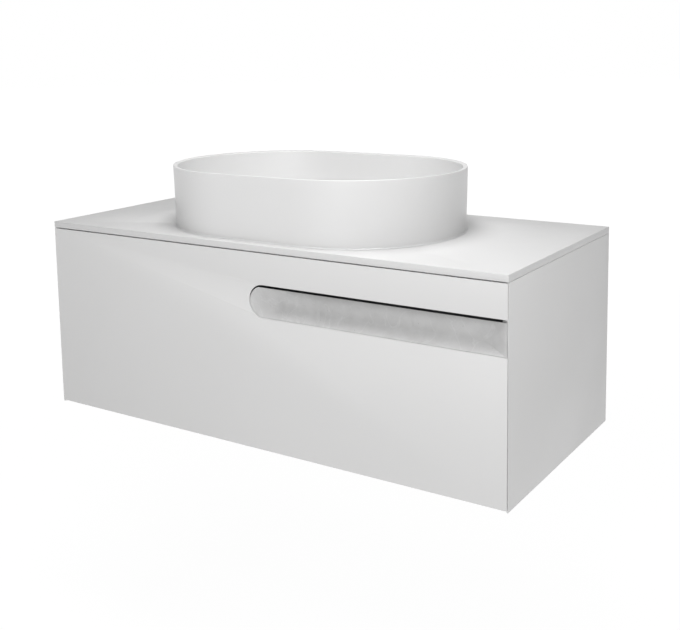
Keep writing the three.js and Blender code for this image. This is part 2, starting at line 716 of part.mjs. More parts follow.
function drawerBottom() {
  return alongZ(
    outline([
      [-INNER_EDGE, DRAWER_FRONT],
      [INNER_EDGE, DRAWER_FRONT],
      [INNER_EDGE, DRAWER_BACK],
      [CUTOUT_HALF_WIDTH, DRAWER_BACK],
      [CUTOUT_HALF_WIDTH, CUTOUT_FRONT],
      [-CUTOUT_HALF_WIDTH, CUTOUT_FRONT],
      [-CUTOUT_HALF_WIDTH, DRAWER_BACK],
      [-INNER_EDGE, DRAWER_BACK],
    ]),
    DRAWER_BOTTOM_Z,
    DRAWER_FLOOR,
  );
}

// An angle bracket in the corner between a drawer side and the front.
function frontBracket(side) {
  const leg = 28;
  const corner = DRAWER_SIDE_INNER - GAP;
  const front = DRAWER_FRONT;
  const plan = [
    [corner, front],
    [corner, front + leg],
    [corner - STEEL, front + leg],
    [corner - STEEL, front + STEEL],
    [corner - leg, front + STEEL],
    [corner - leg, front],
  ];
  return alongZ(outline(plan.map(([x, y]) => [side * x, y])), ON_FLOOR + 20, ON_FLOOR + 20 + BRACKET_HEIGHT);
}

function cutoutFrontWall() {
  const halfWidth = CUTOUT_HALF_WIDTH - GAP;
  return box([-halfWidth, halfWidth], [CUTOUT_FRONT - DRAWER_BOARD, CUTOUT_FRONT], [ON_FLOOR, DRAWER_TOP]);
}

function drawerSide(side) {
  const thickness = mirrored(side, [DRAWER_SIDE_INNER, DRAWER_HALF_WIDTH]);
  return box(thickness, [DRAWER_FRONT, DRAWER_BACK], [DRAWER_SIDE_LOW, DRAWER_TOP]);
}

add("drawer_bottom", drawerBottom(), WHITE_MELAMINE);
add("cutout_front_wall", cutoutFrontWall(), WHITE_MELAMINE);
HANDS.forEach(([name, side]) => {
  const wallOuter = CUTOUT_HALF_WIDTH + DRAWER_BOARD;
  const heights = [ON_FLOOR, DRAWER_TOP];
  add(`drawer_${name}_side`, drawerSide(side), WHITE_MELAMINE);
  add(
    `drawer_${name}_back`,
    box(mirrored(side, [wallOuter + GAP, INNER_EDGE]), [DRAWER_BACK - DRAWER_BOARD, DRAWER_BACK], heights),
    WHITE_MELAMINE,
  );
  add(
    `cutout_${name}_wall`,
    box(mirrored(side, [CUTOUT_HALF_WIDTH, wallOuter]), [CUTOUT_FRONT - DRAWER_BOARD, DRAWER_BACK], heights),
    WHITE_MELAMINE,
  );
  add(`${name}_front_bracket`, frontBracket(side), ZINC_STEEL);
  add(
    `${name}_front_bumper`,
    turnedAboutY(solidRod(4, BOARD + GAP, CARCASE_FRONT - GAP), side * 455, BODY_HEIGHT - BOARD / 2),
    CLEAR_BUMPER,
  );
});

// ---------------------------------------------------------------- runners

const SHEET = 1.2; // sheet steel of the runners
const BALL_GAP = 3.3;

// A lipped channel: its web stands at x = web, its flanges run from there to x = mouth, turned in by lip.
function channel(side, web, mouth, halfHeight, lip) {
  const inward = Math.sign(mouth - web);
  const upper = [
    [web, halfHeight],
    [mouth, halfHeight],
    [mouth, halfHeight - SHEET - lip],
    [mouth - inward * SHEET, halfHeight - SHEET - lip],
    [mouth - inward * SHEET, halfHeight - SHEET],
    [web + inward * SHEET, halfHeight - SHEET],
  ];
  const lower = [...upper].reverse().map(([x, z]) => [x, -z]);
  const section = [...upper, ...lower].map(([x, z]) => [side * x, RUNNER_Z + z]);
  return alongY(outline(section), RUNNER_FRONT, RUNNER_FRONT + RUNNER_LENGTH);
}

const OUTER_HALF = 22.5;
const MIDDLE_HALF = OUTER_HALF - SHEET - BALL_GAP;
const DRAWER_HALF = MIDDLE_HALF - SHEET - BALL_GAP;
const DAMPER = { front: 296, back: 420, low: 150, high: 172 };

// The housing of the damper that draws the drawer shut, with a groove open at the front for the striker.
function damper(side) {
  const { front, back, low, high } = DAMPER;
  const housing = box(mirrored(side, [INNER - 9, INNER]), [front, back], [low, high]);
  const groove = box(mirrored(side, [INNER - 10, INNER - 4]), [front - 1, front + 70], [low + 7, high - 7]);
  return cut(housing, groove);
}

// The striker on the drawer side: a plate with a peg that rides in the damper's groove.
function striker(side) {
  const { front, low, high } = DAMPER;
  const face = DRAWER_HALF_WIDTH + GAP;
  const plate = box(mirrored(side, [face, face + STEEL]), [front + 30, front + 60], [low + 2, high - 2]);
  const peg = box(mirrored(side, [face + 1, face + 6.5]), [front + 50, front + 56], [low + 8.5, high - 8.5]);
  return joined(plate, peg);
}

HANDS.forEach(([name, side]) => {
  add(`${name}_cabinet_rail`, channel(side, INNER, 473.2, OUTER_HALF, 2.5), ZINC_STEEL);
  add(`${name}_middle_rail`, channel(side, 479.2, 471.7, MIDDLE_HALF, 2.5), ZINC_STEEL);
  add(`${name}_drawer_rail`, channel(side, DRAWER_HALF_WIDTH + GAP, 476.4, DRAWER_HALF, 1.5), ZINC_STEEL);
  add(`${name}_soft_close_damper`, damper(side), GREY_PLASTIC);
  add(`${name}_damper_striker`, striker(side), GREY_PLASTIC);
});

// ---------------------------------------------------------------- wall fixing

const WALL_SCREW_X = 380;
const WALL_SCREW_Z = 312;
const HOOK_X = [465, 477];
const HANGER_X = [461, INNER];
const HANGER_Z = [318, 360];
const HANGER_FRONT = 376;

// The rail is screwed to the wall: a flat web, a step out, and an upright lip for the hooks.
function wallRail() {
  const out = DEPTH - 8;
  const section = [
    [DEPTH, WALL_RAIL_LOW],
    [DEPTH, WALL_RAIL_SHELF],
    [out, WALL_RAIL_SHELF],
    [out, WALL_RAIL_LIP],
    [out - STEEL, WALL_RAIL_LIP],
    [out - STEEL, WALL_RAIL_SHELF - STEEL],
    [DEPTH - STEEL, WALL_RAIL_SHELF - STEEL],
    [DEPTH - STEEL, WALL_RAIL_LOW],
  ];
  const holes = [-1, 1].map((side) =>
    turnedAboutY(solidRod(4.5, DEPTH - 5, DEPTH + 5), side * WALL_SCREW_X, WALL_SCREW_Z),
  );
  return cut(alongX(outline(section), -479, 479), ...holes);
}

function wallScrew(side) {
  const face = DEPTH - STEEL - GAP;
  const profile = [[0, face - 5], [7, face - 5], [7, face], [4, face], [4, DEPTH], [0, DEPTH]];
  return turnedAboutY(profile, side * WALL_SCREW_X, WALL_SCREW_Z);
}

// A hanger's housing, fixed to the side panel, open at the back for the hook.
function hangerBody(side) {
  const shell = box(mirrored(side, HANGER_X), [HANGER_FRONT, HANGING_RAIL_BACK], HANGER_Z);
  const pocketX = mirrored(side, [HOOK_X[0] - 1, HOOK_X[1] + 1]);
  return cut(shell, box(pocketX, [HANGER_FRONT + 10, DEPTH], [336, 352]));
}

function hangerHook(side) {
  const armLow = WALL_RAIL_LIP + GAP;
  const section = [
    [HANGER_FRONT + 12, armLow],
    [DEPTH - 5.5, armLow],
    [DEPTH - 5.5, WALL_RAIL_SHELF + STEEL],
    [DEPTH - 3, WALL_RAIL_SHELF + STEEL],
    [DEPTH - 3, armLow + 3],
    [HANGER_FRONT + 12, armLow + 3],
  ];
  return alongX(outline(section), ...mirrored(side, HOOK_X));
}

function hangerCover(side) {
  return box(mirrored(side, HANGER_X), [HANGER_FRONT - 2.5, HANGER_FRONT - GAP], HANGER_Z);
}

add("wall_rail", wallRail(), ZINC_STEEL);
HANDS.forEach(([name, side]) => {
  add(`${name}_wall_screw`, wallScrew(side), ZINC_STEEL);
  add(`${name}_hanger_body`, hangerBody(side), WHITE_PLASTIC);
  add(`${name}_hanger_hook`, hangerHook(side), ZINC_STEEL);
  add(`${name}_hanger_cover`, hangerCover(side), WHITE_PLASTIC);
});

// ---------------------------------------------------------------- the part's frame

const WALL_RAIL_MIDDLE = (WALL_RAIL_LOW + WALL_RAIL_SHELF) / 2;
vanity.position.set(0, -DEPTH, -WALL_RAIL_MIDDLE);

export default vanity;
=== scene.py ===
"""The looks of a wall-hung vanity with a stadium-shaped vessel basin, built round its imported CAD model.

Places are in the CAD model's frame: x to the right, y into the wall, z up, with the origin on the wall.
Lengths are in metres, apart from the sizes of the waste and the trap, which are in millimetres until
in_metres or MM changes them.
"""

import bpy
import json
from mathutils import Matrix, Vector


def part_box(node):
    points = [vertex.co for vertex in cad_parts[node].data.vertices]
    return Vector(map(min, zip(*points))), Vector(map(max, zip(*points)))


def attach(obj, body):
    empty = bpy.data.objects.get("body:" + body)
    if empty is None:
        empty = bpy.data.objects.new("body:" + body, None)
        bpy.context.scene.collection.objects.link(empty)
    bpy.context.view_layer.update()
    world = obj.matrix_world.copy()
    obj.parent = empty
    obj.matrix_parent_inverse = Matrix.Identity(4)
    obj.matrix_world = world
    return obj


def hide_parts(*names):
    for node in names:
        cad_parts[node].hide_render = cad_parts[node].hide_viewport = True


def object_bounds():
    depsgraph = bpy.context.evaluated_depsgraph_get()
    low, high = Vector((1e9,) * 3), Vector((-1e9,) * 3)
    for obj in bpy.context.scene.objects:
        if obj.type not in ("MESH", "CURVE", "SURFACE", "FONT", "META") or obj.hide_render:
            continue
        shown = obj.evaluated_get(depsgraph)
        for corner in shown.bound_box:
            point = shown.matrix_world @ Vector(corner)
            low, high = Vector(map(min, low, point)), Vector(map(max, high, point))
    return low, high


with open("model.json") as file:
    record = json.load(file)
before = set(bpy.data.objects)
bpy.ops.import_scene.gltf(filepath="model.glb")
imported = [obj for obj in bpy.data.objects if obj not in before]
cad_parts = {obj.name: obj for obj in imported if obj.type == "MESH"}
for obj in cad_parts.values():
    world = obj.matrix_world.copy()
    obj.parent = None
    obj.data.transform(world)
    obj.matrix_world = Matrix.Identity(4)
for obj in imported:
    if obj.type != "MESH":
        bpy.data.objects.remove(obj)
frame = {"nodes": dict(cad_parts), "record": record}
cad_box = [list(corner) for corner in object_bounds()]

import json
import math

import bmesh
import bpy
from mathutils import Matrix, Vector

MM = 0.001

# ---------------------------------------------------------------- camera

CAMERA_PLACE = Vector((1.1159, -1.8571, 0.4176))
CAMERA_YAW = 0.581
CAMERA_PITCH = 0.133  # downwards
CAMERA_ROLL = 0.017
CAMERA_LENS = 54.09
CAMERA_SHIFT = -0.199
CAMERA_REACH = 100


def make_camera():
    """A view from the front right, pitched down and rolled a little, with its frame shifted."""
    sin_yaw, cos_yaw = math.sin(CAMERA_YAW), math.cos(CAMERA_YAW)
    sin_pitch, cos_pitch = math.sin(CAMERA_PITCH), math.cos(CAMERA_PITCH)
    forward = Vector((-sin_yaw * cos_pitch, cos_yaw * cos_pitch, -sin_pitch))
    level = Vector((cos_yaw, sin_yaw, 0))
    down = forward.cross(level)
    right = math.cos(CAMERA_ROLL) * level + math.sin(CAMERA_ROLL) * down
    up = math.sin(CAMERA_ROLL) * level - math.cos(CAMERA_ROLL) * down
    data = bpy.data.cameras.new("camera")
    data.lens = CAMERA_LENS
    data.shift_y = CAMERA_SHIFT
    data.clip_end = CAMERA_REACH
    camera = bpy.data.objects.new("camera", data)
    turn = Matrix((right, up, -forward)).transposed().to_4x4()
    camera.matrix_world = Matrix.Translation(CAMERA_PLACE) @ turn
    bpy.context.collection.objects.link(camera)
    bpy.context.scene.camera = camera


# ---------------------------------------------------------------- node trees

NOISE_LOW, NOISE_HIGH = 0.3, 0.7  # most values of a noise lie between these
MIX_FACTOR, MIX_FIRST, MIX_SECOND, MIX_RESULT = 0, 6, 7, 2  # the sockets of a mix node that blends colours


class Nodes:
    """A node tree of a material or the world, with short calls for the nodes that are used here."""

    def __init__(self, tree):
        self.tree = tree
        self.tree.nodes.clear()

    def put(self, socket, value):
        """Links a socket to another node's output, or sets it to a constant."""
        if isinstance(value, bpy.types.NodeSocket):
            self.tree.links.new(value, socket)
        else:
            socket.default_value = value

    def new(self, kind, **sockets):
        node = self.tree.nodes.new(kind)
        for name, value in sockets.items():
            self.put(node.inputs[name.replace("_", " ")], value)
        return node

    def position(self, stretch):
        place = self.new("ShaderNodeTexCoord").outputs["Object"]
        return self.new("ShaderNodeMapping", Vector=place, Scale=stretch).outputs["Vector"]

    def noise(self, scale, detail, roughness=0.5, distortion=0.0, stretch=(1, 1, 1)):
        place = self.position(stretch)
        node = self.new("ShaderNodeTexNoise", Vector=place, Scale=scale, Detail=detail)
        self.put(node.inputs["Roughness"], roughness)
        self.put(node.inputs["Distortion"], distortion)
        return node.outputs["Fac"]

    def between(self, value, low, high, start=0.0, end=1.0):
        """Maps the range from low to high onto the range from start to end."""
        ranges = {"From_Min": low, "From_Max": high, "To_Min": start, "To_Max": end}
        return self.new("ShaderNodeMapRange", Value=value, **ranges).outputs["Result"]

    def spread(self, noise, start=0.0, end=1.0):
        """Maps the usual values of a noise onto the range from start to end."""
        return self.between(noise, NOISE_LOW, NOISE_HIGH, start, end)

    def math(self, operation, *values):
        node = self.tree.nodes.new("ShaderNodeMath")
        node.operation = operation
        for socket, value in zip(node.inputs, values):
            self.put(socket, value)
        return node.outputs["Value"]

    def blend(self, factor, first, second):
        node = self.tree.nodes.new("ShaderNodeMix")
        node.data_type = "RGBA"
        self.put(node.inputs[MIX_FACTOR], factor)
        self.put(node.inputs[MIX_FIRST], first)
        self.put(node.inputs[MIX_SECOND], second)
        return node.outputs[MIX_RESULT]

    def mix_shaders(self, factor, first, second):
        node = self.tree.nodes.new("ShaderNodeMixShader")
        for socket, value in zip(node.inputs, (factor, first.outputs[0], second.outputs[0])):
            self.put(socket, value)
        return node.outputs["Shader"]

    def bump(self, height, distance, strength, normal=None):
        node = self.new("ShaderNodeBump", Height=height, Distance=distance, Strength=strength)
        if normal is not None:
            self.put(node.inputs["Normal"], normal)
        return node.outputs["Normal"]

    def surface(self, color, roughness, normal, metallic=0.0):
        shader = self.new("ShaderNodeBsdfPrincipled", Base_Color=color, Roughness=roughness, Normal=normal)
        self.put(shader.inputs["Metallic"], metallic)
        self.new("ShaderNodeOutputMaterial", Surface=shader.outputs["BSDF"])


def material(name):
    made = bpy.data.materials.new(name)
    made.use_nodes = True
    return made, Nodes(made.node_tree)


def grey(value, warmth=0.0):
    return (value + warmth, value, value - warmth, 1)


# ---------------------------------------------------------------- floor, world and lamps

FLOOR_DROP = 0.5  # how far the cabinet hangs above the floor
FLOOR_RADIUS = 30
FLOOR_STEPS = 96
FLOOR_TONE = 0.9
FLOOR_GLOW = 1.03
GLOW_NEAR, GLOW_FAR = 0.93, 1.0  # how much of the floor's light is its own glow, near the vanity and far away
GLOW_FROM, GLOW_TO = 0.8, 3.5  # the distances from the frame's origin between which that share rises
WORLD_FAINT, WORLD_STRONG = 0.04, 0.39  # the world's light from the front, and from straight behind the wall


def make_floor():
    """A pale floor that is almost as bright as the white studio, and blends into it away from the vanity."""
    height = cad_box[0][2] - FLOOR_DROP
    bm = bmesh.new()
    bmesh.ops.create_circle(bm, cap_ends=True, segments=FLOOR_STEPS, radius=FLOOR_RADIUS)
    bmesh.ops.translate(bm, verts=bm.verts, vec=(0, 0, height))
    mesh = bpy.data.meshes.new("floor")
    bm.to_mesh(mesh)
    bm.free()
    floor = bpy.data.objects.new("floor", mesh)
    bpy.context.collection.objects.link(floor)
    made, nodes = material("studio_floor")
    away = nodes.new("ShaderNodeVectorMath", Vector=nodes.new("ShaderNodeTexCoord").outputs["Object"])
    away.operation = "LENGTH"
    fade = nodes.between(away.outputs["Value"], GLOW_FROM, GLOW_TO, GLOW_NEAR, GLOW_FAR)
    matt = nodes.new("ShaderNodeBsdfDiffuse", Color=grey(FLOOR_TONE))
    glow = nodes.new("ShaderNodeEmission", Color=grey(1.0), Strength=FLOOR_GLOW)
    nodes.new("ShaderNodeOutputMaterial", Surface=nodes.mix_shaders(fade, matt, glow))
    mesh.materials.append(made)


def make_world():
    """White where it is looked at; as light it is faint, and strongest from the wall's side."""
    world = bpy.data.worlds.new("studio")
    bpy.context.scene.world = world
    world.use_nodes = True
    nodes = Nodes(world.node_tree)
    direction = nodes.new("ShaderNodeTexCoord").outputs["Generated"]
    split = nodes.new("ShaderNodeSeparateXYZ", Vector=direction)
    light = nodes.between(split.outputs["Y"], 0.0, 1.0, WORLD_FAINT, WORLD_STRONG)
    shade = nodes.new("ShaderNodeBackground", Color=grey(1.0), Strength=light)
    seen = nodes.new("ShaderNodeBackground", Color=grey(1.0), Strength=1.0)
    looked_at = nodes.new("ShaderNodeLightPath").outputs["Is Camera Ray"]
    nodes.new("ShaderNodeOutputWorld", Surface=nodes.mix_shaders(looked_at, shade, seen))


def area_light(name, place, aim, width, power):
    """A round lamp that faces the point aim."""
    data = bpy.data.lights.new(name, "AREA")
    data.shape = "DISK"
    data.size = width
    data.energy = power
    light = bpy.data.objects.new(name, data)
    light.location = place
    light.rotation_euler = (Vector(aim) - Vector(place)).to_track_quat("-Z", "Y").to_euler()
    bpy.context.collection.objects.link(light)


make_camera()
make_floor()
make_world()
bpy.context.scene.view_settings.view_transform = "Standard"
area_light("key", place=(1.1, -2.2, 1.55), aim=(0.2, -0.46, -0.05), width=1.0, power=14.5)
area_light("side_key", place=(1.5, -1.8, 1.0), aim=(0.2, -0.4, 0.1), width=0.8, power=5.5)
area_light("low_front", place=(0.7, -2.6, 0.5), aim=(0.1, -0.4, 0), width=1.0, power=8)
area_light("overhead", place=(0, -0.4, 2.2), aim=(0, -0.3, 0), width=1.6, power=36)
area_light("fill", place=(0.5, -0.9, 1.8), aim=(0.1, -0.3, 0), width=1.0, power=12)

# ---------------------------------------------------------------- materials


def make_lacquer():
    """Matte white lacquer: a faint orange peel and slightly uneven sheen."""
    made, nodes = material("white_lacquer")
    cloud = nodes.noise(2.5, detail=3)
    color = nodes.blend(cloud, grey(0.695, 0.002), grey(0.725, 0.002))
    roughness = nodes.spread(nodes.noise(9, detail=5), 0.36, 0.46)
    peel = nodes.noise(700, detail=2)
    nodes.surface(color, roughness, nodes.bump(peel, 0.04 * MM, 0.5))
    return made


def make_top():
    """Satin white solid surface with a barely visible fine grain."""
    made, nodes = material("white_solid_surface")
    cloud = nodes.noise(3.5, detail=4)
    grain = nodes.noise(1600, detail=2)
    color = nodes.blend(cloud, grey(0.635, 0.001), grey(0.66, 0.001))
    color = nodes.blend(nodes.between(grain, 0.62, 0.75), color, grey(0.61))
    roughness = nodes.spread(nodes.noise(14, detail=5), 0.3, 0.42)
    nodes.surface(color, roughness, nodes.bump(grain, 0.02 * MM, 0.4))
    return made


def make_ceramic():
    """Satin white ceramic with the soft waviness of a hand-finished glaze."""
    made, nodes = material("white_ceramic")
    cloud = nodes.noise(4, detail=3)
    color = nodes.blend(cloud, grey(0.705, 0.001), grey(0.73, 0.001))
    roughness = nodes.spread(nodes.noise(18, detail=4), 0.3, 0.37)
    wave = nodes.noise(30, detail=2)
    fine = nodes.noise(1200, detail=2)
    normal = nodes.bump(wave, 0.4 * MM, 0.25)
    nodes.surface(color, roughness, nodes.bump(fine, 0.02 * MM, 0.4, normal))
    return made


def make_melamine():
    """White melamine: a fine pearl emboss and a faintly warm white."""
    made, nodes = material("white_melamine")
    cloud = nodes.noise(4, detail=3)
    pearl = nodes.noise(1100, detail=3, roughness=0.6)
    color = nodes.blend(cloud, grey(0.70, 0.004), grey(0.74, 0.004))
    color = nodes.blend(nodes.between(pearl, 0.35, 0.65), color, grey(0.755, 0.003))
    roughness = nodes.spread(nodes.noise(12, detail=5), 0.42, 0.56)
    nodes.surface(color, roughness, nodes.bump(pearl, 0.1 * MM, 0.5))
    return made


def make_concrete():
    """Light grey concrete-look panel: cloudy mottling, faint pale veins and a few dark flecks and streaks."""
    made, nodes = material("grey_concrete")
    clouds = nodes.noise(9, detail=8, roughness=0.6, distortion=0.5)
    mottle = nodes.noise(55, detail=6, roughness=0.68)
    color = nodes.blend(nodes.spread(clouds), grey(0.45, 0.002), grey(0.56, 0.001))
    color = nodes.blend(nodes.between(mottle, 0.35, 0.72, 0.0, 0.45), color, grey(0.62))
    ridge = nodes.math("ABSOLUTE", nodes.math("SUBTRACT", nodes.noise(12, detail=5, distortion=1.2), 0.5))
    vein = nodes.between(ridge, 0.0, 0.012, 0.28, 0.0)
    color = nodes.blend(vein, color, grey(0.7))
    streak = nodes.noise(45, detail=3, roughness=0.6, stretch=(1, 1, 0.25))
    color = nodes.blend(nodes.between(streak, 0.66, 0.76, 0.0, 0.3), color, grey(0.34))
    fleck = nodes.noise(230, detail=1)
    color = nodes.blend(nodes.between(fleck, 0.76, 0.81, 0.0, 0.55), color, grey(0.24))
    roughness = nodes.spread(mottle, 0.62, 0.8)
    nodes.surface(color, roughness, nodes.bump(mottle, 0.3 * MM, 0.35))
    return made


def make_metal(name, tone, roughness, marks, stretch, depth):
    """Bare or plated metal with fine marks drawn out along one direction."""
    made, nodes = material(name)
    cloud = nodes.noise(25, detail=4)
    scratches = nodes.noise(marks, detail=4, stretch=stretch)
    color = nodes.blend(cloud, grey(tone * 0.94, -0.004), grey(tone * 1.04, -0.004))
    nodes.surface(color, nodes.spread(scratches, *roughness), nodes.bump(scratches, depth, 0.3), metallic=1.0)
    return made


def make_plastic(name, tone, roughness, grain=900):
    """Moulded plastic with a spark-eroded grain."""
    made, nodes = material(name)
    cloud = nodes.noise(30, detail=3)
    texture = nodes.noise(grain, detail=3)
    color = nodes.blend(cloud, grey(tone * 0.95), grey(tone * 1.05))
    nodes.surface(color, nodes.spread(texture, *roughness), nodes.bump(texture, 0.06 * MM, 0.5))
    return made


# The grip's pocket channel is real brushed aluminium. Its dark tone of 0.16 is painted shade, so the gap
# above the concrete panel reads dark.
BRUSHED_DARKENED_AS_SHADE = {"tone": 0.16, "roughness": (0.38, 0.5), "marks": 500, "stretch": (0.02, 1, 1), "depth": 0.03 * MM}
ROLLED = {"tone": 0.62, "roughness": (0.22, 0.38), "marks": 300, "stretch": (1, 0.1, 1), "depth": 0.03 * MM}
POLISHED = {"tone": 0.78, "roughness": (0.05, 0.12), "marks": 60, "stretch": (1, 1, 1), "depth": 0.02 * MM}
MATERIALS = {
    "lacquer": make_lacquer(),
    "top": make_top(),
    "basin": make_ceramic(),
    "melamine": make_melamine(),
    "concrete": make_concrete(),
    "dark_aluminium": make_metal("dark_aluminium", **BRUSHED_DARKENED_AS_SHADE),
    "zinc_steel": make_metal("zinc_steel", **ROLLED),
    "chrome": make_metal("chrome", **POLISHED),
    "grey_plastic": make_plastic("grey_plastic", tone=0.25, roughness=(0.4, 0.55)),
    "white_plastic": make_plastic("white_plastic", tone=0.76, roughness=(0.4, 0.55)),
    "rubber": make_plastic("black_rubber", tone=0.02, roughness=(0.6, 0.8), grain=500),
    "bumper": make_plastic("clear_bumper", tone=0.62, roughness=(0.2, 0.35), grain=300),
    # The silicone bead's tone is lowered from white to 0.62 so the line at the basin's foot reads darker:
    # painted shade.
    "sealant": make_plastic("silicone_darkened_as_painted_shade", tone=0.62, roughness=(0.3, 0.45), grain=200),
}
SLOTS = {entry["node"]: entry["material_slot"] for entry in frame["record"]["subparts"]}

# ---------------------------------------------------------------- carried-over CAD pieces

THIN_WORDS = ("rail", "bracket", "hook", "profile", "nut", "washer", "seal", "insert")
WOODEN_RAILS = {"front_top_rail", "hanging_rail", "lower_back_rail"}
BOARD_EASE = 0.6 * MM
THIN_EASE = 0.25 * MM
EASE_SEGMENTS = 2
WELD_GAP = 0.005 * MM
SMOOTH_ANGLE = math.radians(30)


def smoothing_group():
    """Shades every face smooth and keeps the edges sharper than SMOOTH_ANGLE."""
    tree = bpy.data.node_groups.new("smooth_by_angle", "GeometryNodeTree")
    tree.interface.new_socket("Geometry", in_out="INPUT", socket_type="NodeSocketGeometry")
    tree.interface.new_socket("Geometry", in_out="OUTPUT", socket_type="NodeSocketGeometry")
    source = tree.nodes.new("NodeGroupInput")
    faces = tree.nodes.new("GeometryNodeSetShadeSmooth")
    edges = tree.nodes.new("GeometryNodeSetShadeSmooth")
    edges.domain = "EDGE"
    angle = tree.nodes.new("GeometryNodeInputMeshEdgeAngle")
    soft = tree.nodes.new("FunctionNodeCompare")
    soft.data_type = "FLOAT"
    soft.operation = "LESS_THAN"
    soft.inputs[1].default_value = SMOOTH_ANGLE
    result = tree.nodes.new("NodeGroupOutput")
    tree.links.new(source.outputs[0], faces.inputs["Geometry"])
    tree.links.new(faces.outputs[0], edges.inputs["Geometry"])
    tree.links.new(angle.outputs["Unsigned Angle"], soft.inputs[0])
    tree.links.new(soft.outputs[0], edges.inputs["Shade Smooth"])
    tree.links.new(edges.outputs[0], result.inputs[0])
    return tree


SMOOTHING = smoothing_group()


def shade_smooth(piece):
    shade = piece.modifiers.new("shade", "NODES")
    shade.node_group = SMOOTHING


def ease_edges(piece, width):
    """Takes the sharpness off the edges with a narrow rounded bevel, and smooths the curved faces."""
    weld = piece.modifiers.new("weld", "WELD")
    weld.merge_threshold = WELD_GAP
    bevel = piece.modifiers.new("ease", "BEVEL")
    bevel.width = width
    bevel.segments = EASE_SEGMENTS
    bevel.limit_method = "ANGLE"
    bevel.angle_limit = SMOOTH_ANGLE
    shade_smooth(piece)


def ease_width(node_name):
    """Thin parts get a narrower bevel than boards. Three of the nodes that are called rails are boards."""
    thin = any(word in node_name for word in THIN_WORDS)
    return THIN_EASE if thin and node_name not in WOODEN_RAILS else BOARD_EASE


for node_name, node in frame["nodes"].items():
    node.data.materials.clear()
    node.data.materials.append(MATERIALS[SLOTS[node_name]])
    ease_edges(node, ease_width(node_name))

# ---------------------------------------------------------------- mesh building

BASIN_LOW, BASIN_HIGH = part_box("basin")
AXIS = Vector((0, (BASIN_LOW[1] + BASIN_HIGH[1]) / 2, 0))  # upright, through the basin, the waste and the cup
TURN_STEPS = 96
FILLET_STEPS = 4
FILLET_SHARE = 0.45  # a fillet takes at most this share of an edge
MERGE_GAP = 1e-7


def make_piece(name, bm, body, slot, replaced=()):
    """Turns a bmesh into a smooth-shaded object that rides on a body."""
    bmesh.ops.remove_doubles(bm, verts=bm.verts, dist=MERGE_GAP)
    bmesh.ops.recalc_face_normals(bm, faces=bm.faces)
    mesh = bpy.data.meshes.new(name)
    bm.to_mesh(mesh)
    bm.free()
    mesh.materials.append(MATERIALS[slot])
    piece = bpy.data.objects.new(name, mesh)
    bpy.context.collection.objects.link(piece)
    shade_smooth(piece)
    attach(piece, body)
    if replaced:
        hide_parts(*replaced)


def skin(bm, loops, closed=False):
    """Joins rows of points with faces. A row holds the points of a closed loop, or one point at a pole."""
    rows = [[bm.verts.new(point) for point in loop] for loop in loops]
    pairs = list(zip(rows, rows[1:]))
    if closed:
        pairs.append((rows[-1], rows[0]))
    for first, second in pairs:
        count = max(len(first), len(second))
        if count == 1:
            continue
        for i in range(count):
            j = (i + 1) % count
            near = [first[i % len(first)], first[j % len(first)]]
            far = [second[j % len(second)], second[i % len(second)]]
            bm.faces.new(list(dict.fromkeys(near + far)))


def shares(steps):
    """The numbers from 0 to 1 in equal steps, with both ends."""
    return [step / steps for step in range(steps + 1)]


def rounded(profile, radius, closed=True):
    """Rounds a profile of (radius, height), but not on the axis or at the ends of an open profile."""
    points = [Vector(point) for point in profile]
    result = []
    for i, corner in enumerate(points):
        if corner.x == 0 or (not closed and i in (0, len(points) - 1)):
            result.append(corner)
            continue
        before = points[i - 1] - corner
        after = points[(i + 1) % len(points)] - corner
        turn = before.angle(after, math.pi)
        longest = FILLET_SHARE * min(before.length, after.length)
        reach = min(radius / math.tan(turn / 2), longest)
        start = corner + before.normalized() * reach
        end = corner + after.normalized() * reach
        for t in shares(FILLET_STEPS):
            result.append((1 - t) ** 2 * start + 2 * t * (1 - t) * corner + t ** 2 * end)
    return result


def turned_rows(profile, centre, upright=True):
    """The rows of a round form about an upright axis, or about one that runs back to the wall."""
    rows = []
    for r, along in profile:
        if r == 0:
            angles = [0]
        else:
            angles = [2 * math.pi * i / TURN_STEPS for i in range(TURN_STEPS)]
        if upright:
            rows.append([centre + Vector((r * math.cos(a), r * math.sin(a), along)) for a in angles])
        else:
            rows.append([centre + Vector((r * math.cos(a), along, r * math.sin(a))) for a in angles])
    return rows


def in_metres(profile):
    return [(r * MM, along * MM) for r, along in profile]


def turned_piece(name, profile, body, slot, fillet, centre=AXIS, upright=True, replaced=()):
    """A round piece from a profile in millimetres, with its corners rounded."""
    bm = bmesh.new()
    solid = profile[0][0] == 0
    shape = rounded(in_metres(profile), fillet * MM, closed=not solid)
    skin(bm, turned_rows(shape, centre, upright), closed=not solid)
    make_piece(name, bm, body, slot, replaced)


# ---------------------------------------------------------------- basin

BASIN_HALF_LENGTH = (BASIN_HIGH[0] - BASIN_LOW[0]) / 2
BASIN_HALF_WIDTH = (BASIN_HIGH[1] - BASIN_LOW[1]) / 2
BASIN_BOTTOM = BASIN_LOW[2]
BASIN_TOP = BASIN_HIGH[2]
BASIN_FLOOR = BASIN_BOTTOM + 16 * MM
BASIN_FOOT_INSET = 3 * MM
BASIN_FOOT_ROUND = 2 * MM
BASIN_WALL = 9 * MM
BASIN_RIM = 1.2 * MM  # the radius of the rim's two edges
BASIN_RIM_FALL = 1.4 * MM  # the rim slopes down to the inside by this much
BASIN_INNER_TAPER = 7 * MM
BASIN_COVE = 42 * MM
DISH_RADIUS = 70 * MM
DISH_DEPTH = 2.5 * MM
DRAIN_HOLE = 23 * MM
DRAIN_EASE = 0.8 * MM
SEAT_RADIUS = 32 * MM
END_STEPS = 72
SIDE_STEPS = 12
EDGE_STEPS = 8
OUTSIDE_STEPS = 8
INSIDE_STEPS = 6
COVE_STEPS = 20
FLAT_STEPS = 6
DISH_STEPS = 8


